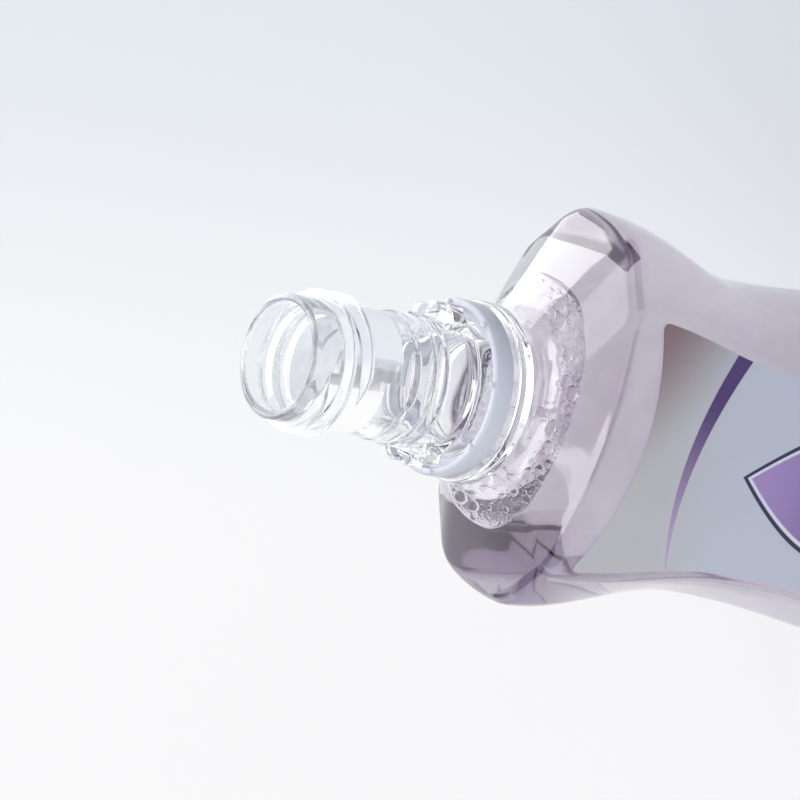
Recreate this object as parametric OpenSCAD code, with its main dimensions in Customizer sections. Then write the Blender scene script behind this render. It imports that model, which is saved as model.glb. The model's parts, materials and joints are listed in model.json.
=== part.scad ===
// Clear blow-moulded mouthwash bottle, standing on its base with the mouth up.
// X is the width, Y the depth, -Y the front, and the origin is the centre of the base.

/* [Body] */
// Width across the shoulders
body_w = 78.8; // [74:0.2:88]
// Depth from front panel to back panel
body_d = 48; // [44:0.5:54]
// Radius of the two label panels, seen from above
panel_r = 80; // [60:1:140]
// Width across the waist
waist_w = 62.5; // [58:0.5:68]
// Width of the lower body
foot_w = 75; // [70:0.5:82]
// Height at which the lower body starts to draw in
foot_z = 24; // [16:1:34]
// Height of the narrowest level
waist_z = 96; // [86:1:98]
// Height at which the shoulder starts to turn in
shoulder_z = 134.5; // [130:0.5:137]
// Radius of the shoulder's outer edge
shoulder_r = 4; // [3:0.5:7]
// Radius of the upright edges beside the label panels
edge_r = 5.5; // [5:0.1:7.5]
// Radius of the upright corners between the slanted flats and the side walls
corner_r = 8; // [7:0.5:9.5]
// Radius of the side walls, seen from above
side_r = 45; // [35:1:60]
// Half of the angle that a side wall takes of its radius
side_turn = 10; // [8:0.5:11]
// Radius of the edge round the base
base_r = 4.5; // [3:0.1:4.6]
// Thickness of the blown wall
wall = 0.6; // [0.45:0.05:0.8]
// Height of the push-up under the base
push_up = 4; // [2:0.5:7]

/* [Label panels] */
// Width of the label panel at the shoulder
panel_w = 54; // [50:0.5:56]
// Width of the label panel at the waist
panel_waist_w = 44; // [40:0.5:46]
// Width of the label panel at the foot
panel_foot_w = 53; // [50:0.5:56]
// Bare margin between a label and the edge of its panel
label_margin = 0.8; // [0.4:0.1:2]
// Height of the label's upper corners
label_top = 131.2; // [122:0.2:132]
// Height of the label's lower corners
label_bottom = 24; // [16:1:34]
// How far the label's upper edge dips between its corners
label_dip = 3.2; // [1:0.2:6]
// Radius of the label's corners
label_corner_r = 1.8; // [1:0.1:3]
// Thickness of the label film
label_t = 0.15; // [0.1:0.05:0.3]

/* [Neck] */
// Height of the underside of the support flange
seat_z = 152.4; // [151:0.2:158]
// Length of the neck from that underside to the lip
neck_l = 47.6; // [44:0.2:54]
// Radius of the bore
bore_r = 10.4; // [9.8:0.1:10.5]
// Radius of the neck under the thread
neck_r = 12; // [11.8:0.05:12.2]
// Radius of the rounded edges of the lip
lip_r = 0.5; // [0.3:0.05:0.7]
// Radius of the short neck between the shoulder and the flange
base_neck_r = 12.8; // [12.6:0.1:13.4]
// Fillet between the shoulder and that short neck
neck_fillet = 4.5; // [4:0.5:7]
// Height of that short neck
base_neck_h = 0.8; // [0.6:0.1:1.6]

/* [Thread] */
// Radius over the crest of the thread
thread_r = 13.75; // [13.4:0.05:13.9]
// Rise of the thread in one turn
pitch = 4.1; // [3.8:0.05:4.4]
// Turns from one run-out to the other
turns = 2.08; // [1.5:0.02:2.4]
// Width of the thread at its root
thread_root = 2.5; // [2:0.1:2.8]
// Width of the thread at its crest
thread_crest = 0.9; // [0.5:0.1:1.2]
// Distance from the lip to the upper start of the thread
thread_start = 4; // [3.4:0.1:5]
// Angle over which each end of the thread runs out
run_out = 35; // [20:1:50]

/* [Ratchet collar] */
// Distance from the lip to the step below the plain neck
step_drop = 23; // [21:0.5:25]
// Radius of the collar below the step
collar_r = 12.6; // [12.4:0.05:12.8]
// Radius of the fine rings round the collar
ring_r = 13; // [12.9:0.05:13.2]
// Radius over the ratchet teeth
lug_r = 16; // [15.4:0.1:16.4]
// Distance from the lip to the top of the ratchet teeth
lug_drop = 33.2; // [31:0.1:34]
// Height of the ratchet teeth
lug_h = 4.2; // [3:0.1:5]
// How far the teeth are turned round from the body's width
lug_turn = 14; // [-20:1:20]
// Ratchet teeth on each side
lug_teeth = 3; // [2:1:4]
// Angle taken by the teeth on one side
lug_angle = 56; // [44:1:64]

/* [Tamper band] */
// Outer radius of the support flange
flange_r = 17.7; // [17.4:0.1:18.6]
// Thickness of the support flange
flange_t = 3.5; // [2.8:0.1:4]
// Radius of the land that the band turns on
land_r = 13; // [12.8:0.05:13.2]
// Radius of the bead that keeps the band on
bead_r = 14; // [13.9:0.05:14.2]
// Outer radius of the band
band_r = 17.2; // [17:0.05:17.4]
// Height of the band
band_h = 4.2; // [3.8:0.1:4.6]
// Wall of the band
band_wall = 1.4; // [1.2:0.1:1.8]
// Thickness of the lip inside the band
band_lip = 1.2; // [1:0.1:1.4]
// Gap between the flange and the band
band_gap = 1.1; // [0.8:0.1:1.4]
// Clearance between the band's lip and the land
band_clear = 0.4; // [0.3:0.05:0.5]
// Broken bridges left along the band's upper edge
stubs = 8; // [4:1:12]

/* [Contents] */
// Height of the liquid's surface
fill_z = 142; // [110:1:143]
// Gap that keeps the liquid and the wall apart
liquid_gap = 0.05; // [0.02:0.01:0.1]

/* [Hidden] */
$fn = 96;
// Steps of the loft: along a quarter's panel, edge, corner and side arcs, and rings along each stretch
panel_n = 4;
edge_n = 3;
arc_n = 3;
side_steps = 2;
side_n = 16;
shoulder_n = 4;
slope_n = 4;
fillet_n = 3;
base_n = 3;
dome = [0.3, 0.6, 0.8, 0.9];
// Steps of the thread in one turn, how deep its root sits in the neck, and its upper start's angle
thread_n = 24;
thread_sink = 0.4;
thread_from = -81;
// How far the loft runs up into the flange
loft_sink = 1.5;
// Clearance between the loft's inner wall and the bore, and where the wall thickens
bore_step = 0.2;
thick_from = 0.35;
// Chamfer of the teeth's ends, depth of the dips between teeth, and the rising part of each tooth
lug_chamfer = 0.5;
lug_dip = 1.6;
lug_rise = 0.7;
// Distances of the two fine rings below the step, and their height
ring_drops = [5.2, 8];
ring_h = 1;
// How deep each stub starts inside the band
weld = 0.3;
lip_z = seat_z + neck_l;
flange_z = seat_z + flange_t;
band_z = flange_z + band_gap;
bead_z = band_z + band_h + 1;
collar_z = lip_z - step_drop;
lug_z = lip_z - lug_drop - lug_h;
fillet_z = seat_z - base_neck_h;

// General helpers
function mix(a, b, t) = a + (b - a) * t;
function clip(t) = min(1, max(0, t));
function ease(t) = (1 - cos(180 * clip(t))) / 2;
function drawn_in(z, foot, waist, top) = z < waist_z
    ? mix(foot, waist, ease((z - foot_z) / (waist_z - foot_z)))
    : mix(waist, top, ease((z - waist_z) / (shoulder_z - waist_z)));

// Half width of the body and of its flat panels at a height
function half_w(z) = drawn_in(z, foot_w, waist_w, body_w) / 2;
function panel_x(z) = drawn_in(z, panel_foot_w, panel_waist_w, panel_w) / 2;

// The shoulder in the XZ plane: an edge arc, a straight slope and a fillet at the neck
edge_x = body_w / 2 - shoulder_r;
root_x = base_neck_r + neck_fillet;
span = norm([root_x - edge_x, fillet_z - shoulder_z]);
slope_a = atan2(fillet_z - shoulder_z, root_x - edge_x) - acos((shoulder_r + neck_fillet) / span);
slope_top = [root_x, fillet_z] - neck_fillet * [cos(slope_a), sin(slope_a)];
slope_low = [edge_x, shoulder_z] + shoulder_r * [cos(slope_a), sin(slope_a)];
function spread(x) = (x - base_neck_r) / (body_w / 2 - base_neck_r);

// A station is [height, angle of the outward normal, spread from neck to body, shrink, edge drop]
function slope_at(t) = [mix(slope_low.y, slope_top.y, t), slope_a,
    spread(mix(slope_low.x, slope_top.x, t)), 1, 0];
stations = concat(
    [for (f = dome) [push_up * (1 - pow(f / dome[len(dome) - 1], 2)), -90, 1, f, base_r]],
    [for (i = [0:base_n]) let (a = -90 * (1 - i / base_n))
        [base_r * (1 + sin(a)), a, 1, 1, base_r * (1 - cos(a))]],
    [for (i = [1:side_n]) [mix(base_r, shoulder_z, i / side_n), 0, 1, 1, 0]],
    [for (i = [1:shoulder_n]) let (a = slope_a * i / shoulder_n)
        [shoulder_z + shoulder_r * sin(a), a, spread(edge_x + shoulder_r * cos(a)), 1, 0]],
    [for (i = [1:slope_n]) slope_at(i / slope_n)],
    [for (i = [1:fillet_n]) let (a = slope_a * (1 - i / fillet_n))
        [fillet_z - neck_fillet * sin(a), a, spread(root_x - neck_fillet * cos(a)), 1, 0]],
    [[seat_z + loft_sink, 0, 0, 1, 0]]
);

// The blown wall thickens from the shoulder towards the neck
function wall_at(k) = mix(base_neck_r - bore_r - bore_step, wall, clip(k / thick_from));

// The body's outline at a height, as pairs of a point and its outward normal. A quarter runs from
// the middle of the front panel round an upright edge, over a slanted flat and round a corner to the
// middle of the side
function facing(a) = [sin(a), -cos(a)];
function arc(c, r, a0, a1, first, n) = [for (i = [first:n]) let (d = facing(mix(a0, a1, i / n)))
    [c + r * d, d]];
function quarter(z) = let (
        panel_c = [0, panel_r - body_d / 2],
        turn = asin(panel_x(z) / panel_r),
        edge_c = panel_c + (panel_r - edge_r) * facing(turn),
        side_c = [half_w(z) - side_r, 0],
        corner_c = side_c + (side_r - corner_r) * facing(90 - side_turn),
        gap = corner_c - edge_c,
        slant = 90 + atan2(gap.y, gap.x) - acos((edge_r - corner_r) / norm(gap))
    )
    concat(arc(panel_c, panel_r, 0, turn, 0, panel_n), arc(edge_c, edge_r, turn, slant, 1, edge_n),
        arc(corner_c, corner_r, slant, 90 - side_turn, 0, arc_n),
        arc(side_c, side_r, 90 - side_turn, 90, 1, side_steps));
function flipped(q, x, y) = [for (p = q) [[p[0].x * x, p[0].y * y], [p[1].x * x, p[1].y * y]]];
function turned(q) = [for (i = [len(q) - 1:-1:0]) q[i]];
function less_ends(q) = [for (i = [1:len(q) - 2]) q[i]];
function outline(q) = concat(q, less_ends(turned(flipped(q, 1, -1))), flipped(q, -1, -1),
    less_ends(turned(flipped(q, -1, 1))));

// The ring of points at a station, drawn in by t along the surface's normal
function ring(s, t) = let (inset = s[4] + t * cos(s[1]))
    [for (q = outline(quarter(min(max(s[0], foot_z), shoulder_z))))
        let (p = mix(base_neck_r * q[1], q[0], s[2]) - inset * q[1])
        [p.x * s[3], p.y * s[3], s[0] - t * sin(s[1])]];

// Triangles between successive rings, over a closed cap, and round a rim
function sides(n, rings, at, out) = [for (j = [0:rings - 2], i = [0:n - 1], h = [0, 1])
    let (a = at + j * n + i, b = at + j * n + (i + 1) % n)
    let (f = h == 0 ? [a, b, b + n] : [a, b + n, a + n])
    out ? turned(f) : f];
function fan(n, at, tip, out) = [for (i = [0:n - 1])
    let (f = [at + i, tip, at + (i + 1) % n]) out ? turned(f) : f];
function joined(rings) = [for (r = rings, p = r) p];

// The blown shell: one closed skin with an outer wall, an inner wall and an open rim
module blown_shell() {
    outer = [for (s = stations) ring(s, 0)];
    inner = [for (s = stations) ring(s, wall_at(s[2]))];
    n = len(outer[0]);
    m = len(outer);
    tips = [[0, 0, push_up], [0, 0, push_up + wall]];
    rim = [for (i = [0:n - 1], h = [0, 1])
        let (a = (m - 1) * n + i, b = (m - 1) * n + (i + 1) % n, c = m * n)
        h == 0 ? [a, a + c, b + c] : [a, b + c, b]];
    polyhedron(
        points = concat(joined(outer), joined(inner), tips),
        faces = concat(
            sides(n, m, 0, true),
            fan(n, 0, 2 * m * n, true),
            sides(n, m, m * n, false),
            fan(n, m * n, 2 * m * n + 1, false),
            rim
        )
    );
}

// The moulded neck, turned about Z: flange, land, bead, collar with its fine rings, plain neck and lip
module neck_finish() {
    rise = neck_r - bore_r;
    rotate_extrude() difference() {
        union() {
            translate([bore_r, seat_z]) square([rise, neck_l - lip_r]);
            translate([bore_r + lip_r, seat_z]) square([rise - 2 * lip_r, neck_l]);
            for (x = [bore_r + lip_r, neck_r - lip_r])
                translate([x, lip_z - lip_r]) circle(r = lip_r, $fn = 24);
            polygon([
                [bore_r, seat_z], [flange_r - 0.6, seat_z], [flange_r, seat_z + 0.6],
                [flange_r, flange_z - 0.4], [flange_r - 0.4, flange_z], [land_r, flange_z],
                [land_r, bead_z - 0.3], [bead_r, bead_z + 0.3], [bead_r, bead_z + 0.9],
                [collar_r, bead_z + 1.8], [collar_r, collar_z - 1], [neck_r, collar_z],
                [bore_r, collar_z]
            ]);
            for (drop = ring_drops) translate([0, collar_z - drop])
                polygon([[bore_r, 0], [collar_r, 0], [ring_r, 0.3 * ring_h], [ring_r, 0.7 * ring_h],
                    [collar_r, ring_h], [bore_r, ring_h]]);
        }
    }
}

// Right-handed thread with tapered ends, swept round the neck
module thread() {
    steps = round(turns * thread_n);
    root = neck_r - thread_sink;
    function height(i) = let (a = i * 360 / thread_n, end = turns * 360)
        (thread_r - neck_r) * min(1, a / run_out, max(0, (end - a) / run_out));
    function section(i) = let (
            a = thread_from - i * 360 / thread_n,
            z = lip_z - thread_start - pitch * i / thread_n,
            tip = neck_r + max(height(i), 0.02),
            crest = mix(thread_root, thread_crest, max(height(i), 0.02) / (thread_r - neck_r)) / 2
        )
        [for (p = [[root, -thread_root / 2], [tip, -crest], [tip, crest], [root, thread_root / 2]])
            [p.x * cos(a), p.x * sin(a), z + p.y]];
    rings = [for (i = [0:steps]) section(i)];
    last = steps * 4;
    polyhedron(
        points = joined(rings),
        faces = concat(sides(4, steps + 1, 0, true), [[0, 1, 2], [0, 2, 3]],
            [[last + 2, last + 1, last], [last + 3, last + 2, last]])
    );
}

// Ratchet teeth for a child-resistant cap: scalloped lobes with one steep side, on both sides of the neck
module ratchet_teeth() {
    step_a = lug_angle / lug_teeth;
    lobe_n = 6;
    root = collar_r - thread_sink;
    function lobe(t) = t < lug_rise ? sin(90 * t / lug_rise) : cos(90 * (t - lug_rise) / (1 - lug_rise));
    outer = [for (i = [0:lug_teeth - 1], j = [0:lobe_n])
        let (t = j / lobe_n, a = step_a * (i + t) - lug_angle / 2, r = lug_r - lug_dip * (1 - lobe(t)))
        r * [cos(a), sin(a)]];
    inner = [for (i = [lug_teeth:-1:0]) let (a = -lug_angle / 2 + step_a * i) root * [cos(a), sin(a)]];
    for (side = [0, 180]) rotate(side + lug_turn) intersection() {
        translate([0, 0, lug_z]) linear_extrude(lug_h) polygon(concat(outer, inner));
        rotate_extrude() polygon([
            [root - 1, lug_z], [lug_r - lug_chamfer, lug_z], [lug_r + lug_chamfer, lug_z + 2 * lug_chamfer],
            [lug_r + lug_chamfer, lug_z + lug_h - 2 * lug_chamfer], [lug_r - lug_chamfer, lug_z + lug_h],
            [root - 1, lug_z + lug_h]
        ]);
    }
}

module bottle() {
    color([0.86, 0.89, 0.92, 0.35]) union() {
        blown_shell();
        neck_finish();
        thread();
        ratchet_teeth();
    }
}

// Loose tamper-evident band with an inner lip and the stubs of its broken bridges
module tamper_band() {
    lip = land_r + band_clear;
    inside = band_r - band_wall;
    stub = [0.9, 1.3, 0.8];
    color([0.93, 0.94, 0.98]) union() {
        rotate_extrude() polygon([
            [lip, band_z], [band_r - 0.3, band_z], [band_r, band_z + 0.3],
            [band_r, band_z + band_h - 0.5], [band_r - 0.5, band_z + band_h], [inside, band_z + band_h],
            [inside, band_z + band_lip + 0.5], [inside - 0.5, band_z + band_lip], [lip, band_z + band_lip]
        ]);
        for (i = [0:stubs - 1]) rotate((i + 0.5) * 360 / stubs)
            translate([inside + 0.1, -stub.y / 2, band_z + band_h - weld])
                cube([stub.x, stub.y, stub.z + weld]);
    }
}

// The label film lies on a panel: its sides follow the panel's edges, its ends are hollow arcs
module label_film() {
    rows = 14;
    low_x = panel_x(label_bottom) - label_margin;
    top_x = panel_x(label_top) - label_margin;
    function rim(z, side) = [side * (panel_x(z) - label_margin), z];
    function rise(t) = label_dip * (1 - pow(2 * t - 1, 2));
    right = [for (i = [0:rows]) rim(mix(label_bottom, label_top, i / rows), 1)];
    upper = [for (i = [1:rows - 1]) [mix(top_x, -top_x, i / rows), label_top - rise(i / rows)]];
    left = [for (i = [rows:-1:0]) rim(mix(label_bottom, label_top, i / rows), -1)];
    lower = [for (i = [1:rows - 1]) [mix(-low_x, low_x, i / rows), label_bottom + rise(i / rows)]];
    intersection() {
        translate([0, panel_r - body_d / 2, 0]) difference() {
            cylinder(h = seat_z, r = panel_r + label_t, $fn = 720);
            translate([0, 0, -1]) cylinder(h = seat_z + 2, r = panel_r, $fn = 720);
        }
        rotate([90, 0, 0]) linear_extrude(body_d)
            offset(r = label_corner_r, $fn = 48) offset(delta = -label_corner_r)
                polygon(concat(right, upper, left, lower));
    }
}

module front_label() {
    color([0.78, 0.79, 0.84]) label_film();
}

module back_label() {
    color([0.86, 0.86, 0.9]) rotate(180) label_film();
}

// The liquid fills the shell up to its level surface
module mouthwash() {
    rings = [for (s = stations) ring(s, wall_at(s[2]) + liquid_gap)];
    low = [for (r = rings) if (r[0].z < fill_z) r];
    a = low[len(low) - 1];
    b = rings[len(low)];
    t = (fill_z - a[0].z) / (b[0].z - a[0].z);
    top = [for (i = [0:len(a) - 1]) mix(a[i], b[i], t)];
    n = len(a);
    m = len(low) + 1;
    color([0.62, 0.52, 0.72, 0.6]) polyhedron(
        points = concat(joined(low), top, [[0, 0, push_up + wall + liquid_gap]]),
        faces = concat(
            sides(n, m, 0, true),
            fan(n, 0, m * n, true),
            [[for (i = [n - 1:-1:0]) (m - 1) * n + i]]
        )
    );
}

bottle();
tamper_band();
front_label();
back_label();
mouthwash();
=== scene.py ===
# %% [markdown]
# # A clear mouthwash bottle
# A blow-moulded PET bottle with a long moulded neck, filled with lavender mouthwash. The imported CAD
# model gives every place and size, and this script dresses it: the bottle, the liquid, the loose
# tamper band and the labels are each made as their own piece, in metres, in the CAD model's frame.

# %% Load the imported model
import json
import math
import random

import bpy
import bmesh
from mathutils import Matrix, Vector

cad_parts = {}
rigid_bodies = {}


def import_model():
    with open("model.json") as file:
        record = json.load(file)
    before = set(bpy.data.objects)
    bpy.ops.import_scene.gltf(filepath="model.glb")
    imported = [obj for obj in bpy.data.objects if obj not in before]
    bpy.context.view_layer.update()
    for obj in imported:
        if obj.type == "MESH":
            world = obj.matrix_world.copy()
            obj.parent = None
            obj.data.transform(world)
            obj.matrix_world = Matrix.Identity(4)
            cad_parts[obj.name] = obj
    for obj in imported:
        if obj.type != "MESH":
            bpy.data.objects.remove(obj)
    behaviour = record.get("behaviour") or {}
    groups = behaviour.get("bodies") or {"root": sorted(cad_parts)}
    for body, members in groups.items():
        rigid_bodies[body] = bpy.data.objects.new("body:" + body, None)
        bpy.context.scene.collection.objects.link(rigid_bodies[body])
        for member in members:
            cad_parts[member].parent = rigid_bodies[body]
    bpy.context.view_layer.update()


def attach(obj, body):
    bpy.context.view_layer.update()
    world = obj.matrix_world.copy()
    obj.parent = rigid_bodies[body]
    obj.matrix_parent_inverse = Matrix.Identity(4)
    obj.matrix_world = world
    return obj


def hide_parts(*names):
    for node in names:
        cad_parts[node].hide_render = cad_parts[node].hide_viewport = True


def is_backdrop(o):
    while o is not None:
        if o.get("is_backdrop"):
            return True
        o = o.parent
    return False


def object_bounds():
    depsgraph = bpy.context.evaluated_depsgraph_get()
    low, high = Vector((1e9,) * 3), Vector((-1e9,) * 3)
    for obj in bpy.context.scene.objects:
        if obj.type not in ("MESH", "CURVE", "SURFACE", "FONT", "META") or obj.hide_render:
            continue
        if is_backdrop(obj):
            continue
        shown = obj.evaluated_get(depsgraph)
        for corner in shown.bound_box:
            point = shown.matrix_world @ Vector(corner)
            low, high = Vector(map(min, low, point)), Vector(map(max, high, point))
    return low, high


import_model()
MM = 0.001

# %% [markdown]
# ## Helpers
# Operators act on whatever is selected, so each piece starts from an empty selection. Colours are
# written as the sRGB hex codes that a paint program shows, and Blender wants them linear, so one
# function turns them. One more function adds a shader node with its settings and its links. The
# plastic, the liquid, the froth and the printed film let the lamps' light through, and one function
# ends their materials that way.

# %% Selection, colours and nodes
COLOUR_A, COLOUR_B, MIXED = 6, 7, 2  # the colour sockets of a Mix node, which share their names


def clear_selection():
    if bpy.context.object and bpy.context.object.mode != "OBJECT":
        bpy.ops.object.mode_set(mode="OBJECT")
    bpy.ops.object.select_all(action="DESELECT")


def select_only(piece):
    clear_selection()
    piece.select_set(True)
    bpy.context.view_layer.objects.active = piece


def linear(code):
    parts = [int(code[i:i + 2], 16) / 255 for i in (1, 3, 5)]
    return (*[c / 12.92 if c <= 0.04045 else ((c + 0.055) / 1.055) ** 2.4 for c in parts], 1.0)


def add(tree, kind, inputs=None, **settings):
    made = tree.nodes.new(kind)
    for name, value in settings.items():
        setattr(made, name, value)
    for socket, value in (inputs or {}).items():
        if isinstance(value, bpy.types.NodeSocket):
            tree.links.new(value, made.inputs[socket])
        else:
            made.inputs[socket].default_value = value
    return made


def new_material(name):
    material = bpy.data.materials.new(name)
    material.use_nodes = True
    material.node_tree.nodes.clear()
    return material, material.node_tree


def lit_through(tree, shader, tint, **more):
    """End a material: shadow rays meet a tinted see-through surface, and all others the shader."""
    path = add(tree, "ShaderNodeLightPath")
    through = add(tree, "ShaderNodeBsdfTransparent", {"Color": linear(tint)})
    mixed = add(tree, "ShaderNodeMixShader", {
        "Fac": path.outputs["Is Shadow Ray"], 1: shader.outputs[0], 2: through.outputs["BSDF"]})
    add(tree, "ShaderNodeOutputMaterial", {"Surface": mixed.outputs["Shader"], **more})


def dress(piece, material, body):
    piece.data.materials.clear()
    piece.data.materials.append(material)
    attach(piece, body)
    print(f"{piece.name}: {len(piece.data.vertices)} vertices, {len(piece.data.polygons)} faces")


print("mid grey in linear light:", [round(c, 3) for c in linear("#808080")])

# %% [markdown]
# ## Camera
# The photograph looks down on the tilted bottle through a long lens, with the mouth to the left. The
# bottle stands upright in this frame, so it is the camera that is turned: it looks from the front and
# above, and rolls until the neck points left.

# %% Camera at the photograph's angle
AZIMUTH, ELEVATION, ROLL = 15.712, 36.97, -79.49
TURN = math.radians(15.5)
DISTANCE, LENS, SENSOR = 900 * MM, 213.37, 36
AIM_ASIDE, AIM_HEIGHT = -3.956 * MM, 170.07 * MM
NEAREST, FARTHEST = 0.05, 20
aim = Vector((math.cos(TURN), math.sin(TURN), 0)) * AIM_ASIDE + Vector((0, 0, AIM_HEIGHT))
az, el, roll = map(math.radians, (AZIMUTH, ELEVATION, ROLL))
back = Vector((math.sin(az) * math.cos(el), -math.cos(az) * math.cos(el), math.sin(el)))
level = (-back).cross(Vector((0, 0, 1))).normalized()
upright = level.cross(-back)
right = level * math.cos(roll) + upright * math.sin(roll)
up = upright * math.cos(roll) - level * math.sin(roll)
camera = bpy.data.objects.new("camera", bpy.data.cameras.new("camera"))
bpy.context.scene.collection.objects.link(camera)
turned = Matrix((right, up, back)).transposed().to_4x4()
camera.matrix_world = Matrix.Translation(aim + back * DISTANCE) @ turned
camera.data.sensor_width = SENSOR
camera.data.lens = LENS
camera.data.clip_start, camera.data.clip_end = NEAREST, FARTHEST
bpy.context.scene.camera = camera
bpy.context.scene.view_settings.view_transform = "Standard"
print("camera at", [round(x, 3) for x in camera.location])

# %% [markdown]
# Light is mirrored many times inside the lip and the teeth, so it is followed for many bounces.

# %% Bounces inside clear plastic
BOUNCES = 64
cycles = bpy.context.scene.cycles
cycles.max_bounces = cycles.transmission_bounces = cycles.glossy_bounces = BOUNCES
print("bounces:", cycles.max_bounces)

# %% [markdown]
# ## Floor, lamps and surroundings
# The photograph is a high-key studio shot: everything round the bottle is nearly white, and clear
# plastic is drawn by the darker things that its edges bend into view. So the floor is a pale matt
# sheet and the lamps are big and soft. The surroundings are the same white to the camera, to
# mirrored light and to bent light. The dark edges come from real black cards, called flags, that
# stand beside and in front of the bottle, outside the picture, as in a photographer's studio.

# %% Floor
FLOOR_SIZE = 6.0
LEAN, PAINTED_SHADE_START, PAINTED_SHADE_FULL = 0.34, -0.04, 0.13
clear_selection()
bpy.ops.mesh.primitive_plane_add(size=FLOOR_SIZE, location=(0, 0, 0))
floor = bpy.context.object
floor.name = "floor"
paper, tree = new_material("matt white paper")
# Painted shade: the paper's colour turns from warm white to a darker cool grey towards +X, where the backdrop
# is meant to look less lit.
where = add(tree, "ShaderNodeTexCoord")
split = add(tree, "ShaderNodeSeparateXYZ", {"Vector": where.outputs["Object"]})
painted_shade_axis = add(tree, "ShaderNodeMath", {0: split.outputs["Y"], 1: LEAN, 2: split.outputs["X"]},
            operation="MULTIPLY_ADD")
across = add(tree, "ShaderNodeMapRange", {
    "Value": painted_shade_axis.outputs["Value"], "From Min": PAINTED_SHADE_START, "From Max": PAINTED_SHADE_FULL},
    interpolation_type="SMOOTHSTEP")
tone = add(tree, "ShaderNodeMix", {
    0: across.outputs["Result"], COLOUR_A: linear("#FBFAF9"), COLOUR_B: linear("#E7EBEE")}, data_type="RGBA")
matt = add(tree, "ShaderNodeBsdfDiffuse", {"Color": tone.outputs[MIXED], "Roughness": 0.5})
add(tree, "ShaderNodeOutputMaterial", {"Surface": matt.outputs["BSDF"]})
floor.data.materials.append(paper)
floor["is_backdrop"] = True
print("floor:", FLOOR_SIZE, "m square")

# %% Dark flags
card, tree = new_material("matt black card")
felt = add(tree, "ShaderNodeBsdfDiffuse", {"Color": linear("#2A2430"), "Roughness": 0.5})
add(tree, "ShaderNodeOutputMaterial", {"Surface": felt.outputs["BSDF"]})


def flag(name, low, high):
    """A thin card between two corners, beside the bottle and out of the picture."""
    clear_selection()
    middle = [(a + b) / 2 for a, b in zip(low, high)]
    bpy.ops.mesh.primitive_cube_add(size=1.0, location=middle, scale=[b - a for a, b in zip(low, high)])
    bpy.ops.object.transform_apply(location=True, rotation=True, scale=True)
    sheet = bpy.context.object
    sheet.name = name
    sheet.data.materials.append(card)
    sheet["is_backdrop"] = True


FLAG_CORNERS = {  # two opposite corners of each, in metres
    "left flag": ((-1.12, -1.2, 0.0), (-1.1, 0.7, 0.9)),
    "right flag": ((1.1, -1.2, 0.0), (1.12, 0.7, 0.9)),
    "front flag": ((-0.5, -1.32, 0.0), (0.5, -1.3, 0.5)),
}
for name, (low, high) in FLAG_CORNERS.items():
    flag(name, low, high)
print("flags:", len(FLAG_CORNERS), "black cards beside and in front of the bottle")

# %% Lamps
LAMP_AIM = Vector((0, 0, 0.1))
SOFTBOXES = {  # place and side in metres, power in watts
    "overhead softbox": ((0.1, 0.2, 1.9), 1.6, 8),
    "front softbox": ((-0.7, -1.5, 1.1), 1.1, 7),
    "rear softbox": ((0.2, 2.4, 1.1), 2.0, 36),
}
for name, (place, side, watts) in SOFTBOXES.items():
    lamp = bpy.data.lights.new(name, "AREA")
    lamp.shape = "SQUARE"
    lamp.size = side
    lamp.energy = watts
    holder = bpy.data.objects.new(name, lamp)
    bpy.context.scene.collection.objects.link(holder)
    holder.location = place
    holder.rotation_euler = (LAMP_AIM - Vector(place)).to_track_quat("-Z", "Y").to_euler()
    print(f"{name}: {side} m square, {watts} W")

# %% Surroundings
ROOM_LIGHT, WHITE = 0.74, 1.0
world = bpy.data.worlds.new("white studio")
bpy.context.scene.world = world
world.use_nodes = True
tree = world.node_tree
tree.nodes.clear()
path = add(tree, "ShaderNodeLightPath")
soft = add(tree, "ShaderNodeBackground", {"Color": linear("#F6F8FC"), "Strength": ROOM_LIGHT})
white = add(tree, "ShaderNodeBackground", {"Color": linear("#FAFAFB"), "Strength": WHITE})
unbent = add(tree, "ShaderNodeMath", {0: path.outputs["Is Camera Ray"], 1: path.outputs["Is Glossy Ray"]},
             operation="MAXIMUM")
seen = add(tree, "ShaderNodeMath", {0: unbent.outputs["Value"], 1: path.outputs["Is Transmission Ray"]},
           operation="MAXIMUM")
either = add(tree, "ShaderNodeMixShader", {
    "Fac": seen.outputs["Value"], 1: soft.outputs["Background"], 2: white.outputs["Background"]})
add(tree, "ShaderNodeOutputWorld", {"Surface": either.outputs["Shader"]})
print("the room lights at", ROOM_LIGHT, "and is seen at", WHITE)

# %% [markdown]
# ## The body's section
# Seen from above, a quarter of the body is five stretches: the crowned label panel, a tight upright
# edge, a flat slanted side, a corner, and a side wall that is nearly flat. Each point carries the
# direction it faces, so that the shoulder can draw every ring in towards the round neck. The waist
# only changes the widths. All lengths in these cells are millimetres, as on a drawing.

# %% Sizes of the body
DEPTH, PANEL_R, EDGE_R, CORNER_R, SIDE_R = 48, 80, 5.5, 8, 45
SIDE_TURN = math.radians(10)
WAIST_Z, FOOT_Z, SHOULDER_Z, SHOULDER_R = 96, 24, 134.5, 4
WIDTHS, PANEL_WIDTHS = (75, 62.5, 78.8), (53, 44, 54)
NECK_ROOT_R, NECK_FILLET, SEAT_Z, FILLET_Z = 12.8, 4.5, 152.4, 151.6
WALL, PUSH_UP, BASE_R, BORE_R = 0.6, 4, 4.5, 10.4
PANEL_STEPS, EDGE_STEPS, FLAT_STEPS, CORNER_STEPS, SIDE_STEPS = 14, 12, 5, 18, 8


def mix(a, b, t):
    return a + (b - a) * t


def clip(t):
    return min(1.0, max(0.0, t))


def ease(t):
    return (1 - math.cos(math.pi * clip(t))) / 2


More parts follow.
